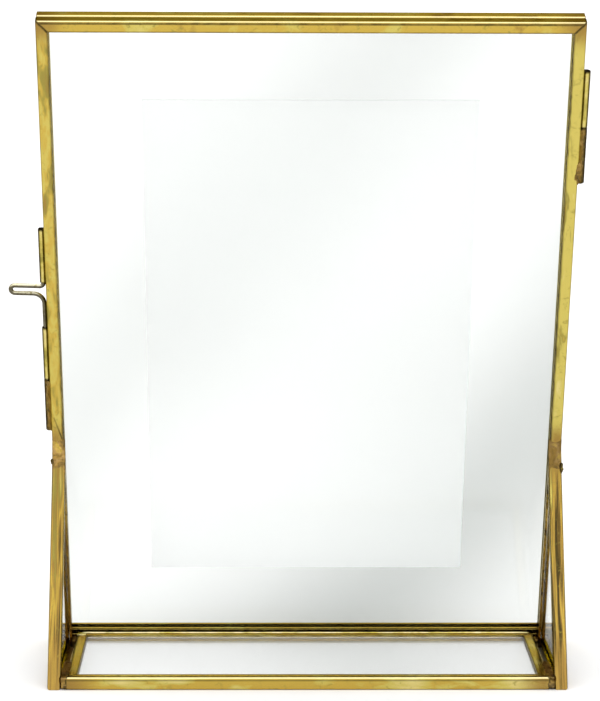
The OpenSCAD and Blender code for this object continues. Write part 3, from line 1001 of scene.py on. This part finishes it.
def lump(name, middle, half, material, seed, rough=0.16, blunt=5.0, to_world=on_ground):
    """Rounded, uneven blob of solder about a middle, with the given half sizes."""
    work = bmesh.new()
    bmesh.ops.create_cube(work, size=2.0)
    bmesh.ops.subdivide_edges(work, edges=work.edges[:], cuts=14, use_grid_fill=True)
    half = Vector(half)
    verts = []
    for v in work.verts:
        p = v.co / (sum(abs(c) ** blunt for c in v.co) ** (1 / blunt))
        wave = noise.noise(p * half / min(half) * 0.8 + Vector((seed, 0, 0)))
        p *= 1 - rough * 0.5 + rough * wave
        verts.append(to_world(*(Vector(middle) + p * half)))
    faces = [[v.index for v in face.verts] for face in work.faces]
    work.free()
    return shown_piece(name, verts, faces, [material], STAND)


def apex_skin(name, side, material, seed):
    """Solder that runs from the top of a leg over the crook on to the panel."""
    size = sizes()
    half = size.bar_t / 2 * 0.985
    middle = side * (size.panel_w / 2 - size.bar_t / 2)
    crook = Vector((apex_y(), size.apex_h))
    down_leg = Vector((-math.sin(leg_lean()), -math.cos(leg_lean())))
    up_panel = Vector((-math.sin(size.lean), math.cos(size.lean)))
    leg_out = Vector((-math.cos(leg_lean()), math.sin(leg_lean())))
    panel_out = Vector((-math.cos(size.lean), -math.sin(size.lean)))
    leg_run, panel_run, sunk = 8.2 * MM, 3.2 * MM, 0.5 * MM
    rim_under, swell, broad_lumps, fine_lumps = 0.16 * MM, 0.34 * MM, 0.3 * MM, 0.1 * MM
    start, end = crook + down_leg * leg_run, crook + up_panel * panel_run
    steps, across = 40, 18
    top, under = [], []
    for i in range(steps + 1):
        u = i / steps
        bed = start * (1 - u) ** 2 + crook * 2 * u * (1 - u) + end * u * u
        out = (leg_out * (1 - u) + panel_out * u).normalized()
        deep = bed - out * sunk
        ends = min(1.0, u * 4.5, (1 - u) * 4)
        for j in range(across + 1):
            v = j / across * 2 - 1
            bulk = lumpiness(u * 3.2 + seed, v * 1.4, 0.5) * broad_lumps
            bulk += lumpiness(u * 9 + seed, v * 3.5, 2.5) * fine_lumps
            rim = 1 - max(0.0, abs(v) - 0.72) / 0.28
            point = bed + out * ((swell + bulk) * ends * rim ** 0.5 - rim_under)
            x = middle + v * half * (1 + 0.02 * lumpiness(u * 5, seed, v))
            top.append(Vector((x, point.x, point.y)))
            under.append(Vector((x, deep.x, deep.y)))
    wide, first = across + 1, len(top)
    faces = []
    for i in range(steps):
        for j in range(across):
            a = i * wide + j
            faces.append((a, a + 1, a + 1 + wide, a + wide))
            faces.append((first + a, first + a + wide, first + a + 1 + wide, first + a + 1))
    loop = [*range(wide), *(i * wide + across for i in range(1, steps + 1))]
    loop += [steps * wide + j for j in range(across - 1, -1, -1)]
    loop += [i * wide for i in range(steps - 1, 0, -1)]
    for a, b in zip(loop, loop[1:] + loop[:1]):
        faces.append((a, b, first + b, first + a))
    return shown_piece(name, top + under, faces, [material], STAND)


def foot_run(material):
    """Thin bright run of solder where the near leaf rests on the rear bar of the base."""
    size = sizes()
    radius, raised, forward, short = 0.34 * MM, 0.06 * MM, 0.15 * MM, 1.5 * MM
    y = face_y() - (size.bar_t + 0.1 * MM) * math.tan(size.lean) - forward
    high = size.bar_t + raised
    half, stations, count = base_half() - short, 121, 10
    angles = [2 * math.pi * i / count for i in range(count)]
    rings = []
    for k in range(stations):
        x = half * (2 * k / (stations - 1) - 1)
        r = radius * (1 + 0.35 * lumpiness(x * 110, 0.0, 3.3) + 0.2 * lumpiness(x * 420, 5.0, 0.0))
        r *= min(1.0, (half - abs(x)) / (2.5 * MM) + 0.3)
        rings.append([Vector((x, y + r * math.cos(a), high + r * 0.9 * math.sin(a))) for a in angles])
    verts, faces = skin(rings)
    return shown_piece("panel-foot-solder", verts, faces, [material], STAND, sharp=60)


class PHOTOFRAME_OT_solder(bpy.types.Operator):
    """Run solder where the legs meet the panel and where the base meets the sides"""

    bl_idname = "photoframe.solder"
    bl_label = "Solder"

    def execute(self, context):
        size, f = sizes(), brass()
        plain, scorched = solder_finish("joint_solder"), solder_finish("scorched_solder", 0.65)
        burnt_tones = ((0.4, f.dark), (0.7, f.tarnish_and_inside_shade))
        bright_tones = ((0.35, f.yellow), (0.45, f.pale), (0.55, f.highlight_and_bright_solder))
        burnt = worked_brass("burnt_solder", burnt_tones, shade_share=0.0, rough=0.35)
        bright = worked_brass("bright_solder", bright_tones, shade_share=0.0, rough=0.16)
        out = size.panel_w / 2
        gap_x = out - size.bar_t - size.side_gap / 2
        overlap = 0.12 * MM
        wide = size.side_gap / 2 + overlap
        front_half, rear_half = size.front_bead_l / 2, size.rear_bead_l / 2
        corners, crooks = [], []
        for side, word, crook_look, forward, down, tall in (
            (LEFT, "left", plain, 1.7 * MM, 4 * MM, 1.2 * MM),
            (RIGHT, "right", scorched, 2.6 * MM, 6 * MM, 1.9 * MM),
        ):
            front = (side * (gap_x - 0.55 * MM), front_y() + front_half - 0.1 * MM, size.bar_t * 0.535)
            run = (wide + 0.7 * MM, front_half + 0.1 * MM, size.bar_t * 0.5)
            name = f"{word}-front-solder"
            corners.append(lump(name, front, run, plain, seed=side * 3.1, rough=0.09, blunt=9.0))
            rear = (side * gap_x, rear_y() - rear_half - 0.4 * MM, size.bar_t * 0.42)
            run = (wide, rear_half + 0.1 * MM, size.bar_t * 0.4)
            lump(f"{word}-rear-solder", rear, run, plain, seed=side * 4.7)
            crooks.append(apex_skin(f"{word}-apex-solder", side, crook_look, seed=side * 5.3))
            spill = (side * (out - 0.1 * MM), apex_y() - forward, size.apex_h - down)
            half = (0.6 * MM, 0.9 * MM, tall)
            lump(f"{word}-apex-spill", spill, half, burnt, seed=side * 2.9, rough=0.4, blunt=2.6)
        blob = (-base_half() + 1.7 * MM, rear_y() - 2.2 * MM, size.bar_t)
        half = (1.6 * MM, 1.7 * MM, 0.4 * MM)
        lump("left-rear-bright-solder", blob, half, bright, seed=2.2, rough=0.3, blunt=3.0)
        gap = (-gap_x, front_y() + 31 * MM, size.bar_t * 0.34)
        half = (0.82 * MM, 13.5 * MM, 1.3 * MM)
        lump("left-gap-solder", gap, half, plain, seed=6.6, rough=0.12, blunt=7.0)
        foot_run(bright)
        hinge_foot = (out, 0.5 * MM, rolled_tubes()["hinge_lower_knuckle"].low + 4.6 * MM)
        half = (1.25 * MM, 0.9 * MM, 4 * MM)
        lump(
            "hinge-foot-solder", hinge_foot, half, plain, seed=9.1, rough=0.3, blunt=2.4, to_world=on_panel,
        )
        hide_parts("base_corner_solder")
        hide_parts("apex_solder")
        return {"FINISHED"}


def studio_floor():
    half = studio().floor_size / 2
    mesh = bpy.data.meshes.new("studio_floor")
    corners = [(-half, -half, 0), (half, -half, 0), (half, half, 0), (-half, half, 0)]
    mesh.from_pydata(corners, [], [(0, 1, 2, 3)])
    floor = new_object("studio_floor", mesh)
    floor.location.z = -0.03 * MM
    n = new_finish("studio_floor_finish")
    pale = studio().floor
    cloud = n.noise(n.place, 330 * MM)
    mesh.materials.append(n.dress({
        "Base Color": n.blend(n.span(cloud, *RANGE), dimmed(pale, 0.99), pale),
        "Roughness": 0.8,
        "Specular IOR Level": 0.1,
    }))


def studio_world():
    """White studio, brightest overhead and low in front, with a greyer wall behind the frame."""
    s = studio()
    world = bpy.data.worlds.new("studio")
    bpy.context.scene.world = world
    n = Nodes(world, "ShaderNodeBackground", "ShaderNodeOutputWorld")
    _, y, z = n.split(n.places["Generated"])
    front = (
        (0.0, s.front), (0.44, s.front), (0.54, s.wall), (0.72, s.wall),
        (0.86, s.ceiling), (1.0, s.ceiling),
    )
    back = (
        (0.0, s.back_floor), (0.32, s.back_floor), (0.46, s.back), (0.66, s.back),
        (0.76, s.high_back), (0.88, s.ceiling), (1.0, s.ceiling),
    )
    behind = n.span(y, -0.3, 0.15)
    n.dress({"Color": n.blend(behind, n.ramp(z, front), n.ramp(z, back)), "Strength": s.light})


def studio_softbox():
    light = bpy.data.lights.new("overhead_softbox", "AREA")
    light.shape = "RECTANGLE"
    light.size, light.size_y = 1.6, 1.2
    light.energy = studio().softbox
    new_object("overhead_softbox", light).location = (0.0, -0.15, 1.3)


def studio_camera():
    s = studio()
    pitch, yaw, roll = s.pitch, s.yaw, s.roll
    ahead = Vector((math.sin(yaw) * math.cos(pitch), math.cos(yaw) * math.cos(pitch), -math.sin(pitch)))
    right = Vector((math.cos(yaw), -math.sin(yaw), 0.0))
    up = right.cross(ahead)
    x = right * math.cos(roll) + up * math.sin(roll)
    y = up * math.cos(roll) - right * math.sin(roll)
    data = bpy.data.cameras.new("studio_camera")
    data.sensor_width = 36.0
    data.sensor_fit = "AUTO"
    data.lens = s.lens
    data.clip_start, data.clip_end = 0.01, 100.0
    camera = new_object("studio_camera", data)
    camera.matrix_world = Matrix.Translation(s.camera) @ Matrix((x, y, -ahead)).transposed().to_4x4()
    bpy.context.scene.camera = camera


class PHOTOFRAME_OT_stage(bpy.types.Operator):
    """Lay the pale floor, hang the soft light and stand the camera"""

    bl_idname = "photoframe.stage"
    bl_label = "Stage"

    def execute(self, context):
        studio_floor()
        studio_world()
        studio_softbox()
        studio_camera()
        context.scene.view_settings.view_transform = "Standard"
        context.scene.view_settings.look = "None"
        return {"FINISHED"}


class PHOTOFRAME_PT_sidebar(bpy.types.Panel):
    """Lists the steps that dress the frame, and what they can be set to"""

    bl_idname = "PHOTOFRAME_PT_sidebar"
    bl_label = "Photo frame"
    bl_space_type = "VIEW_3D"
    bl_region_type = "UI"
    bl_category = "Photo frame"

    def draw(self, context):
        for step in STEPS:
            self.layout.operator(step.bl_idname)
        for name, group in GROUPS.items():
            box = self.layout.box()
            for key in group.__annotations__:
                box.prop(getattr(context.scene, name), key)


STEPS = (
    PHOTOFRAME_OT_channels,
    PHOTOFRAME_OT_panes,
    PHOTOFRAME_OT_card,
    PHOTOFRAME_OT_tubes,
    PHOTOFRAME_OT_latch,
    PHOTOFRAME_OT_solder,
    PHOTOFRAME_OT_stage,
)
GROUPS = {
    "photo_frame_sizes": FrameSizes,
    "photo_frame_brass": BrassFinish,
    "photo_frame_panes": PaneFinish,
    "photo_frame_studio": StudioSettings,
}


def register():
    for name, group in GROUPS.items():
        bpy.utils.register_class(group)
        setattr(bpy.types.Scene, name, PointerProperty(type=group))
    for step in (*STEPS, PHOTOFRAME_PT_sidebar):
        bpy.utils.register_class(step)


def unregister():
    for step in (PHOTOFRAME_PT_sidebar, *reversed(STEPS)):
        bpy.utils.unregister_class(step)
    for name, group in reversed(GROUPS.items()):
        delattr(bpy.types.Scene, name)
        bpy.utils.unregister_class(group)


def main():
    register()
    for step in STEPS:
        group, name = step.bl_idname.split(".")
        getattr(getattr(bpy.ops, group), name)()


if __name__ == "__main__":
    main()
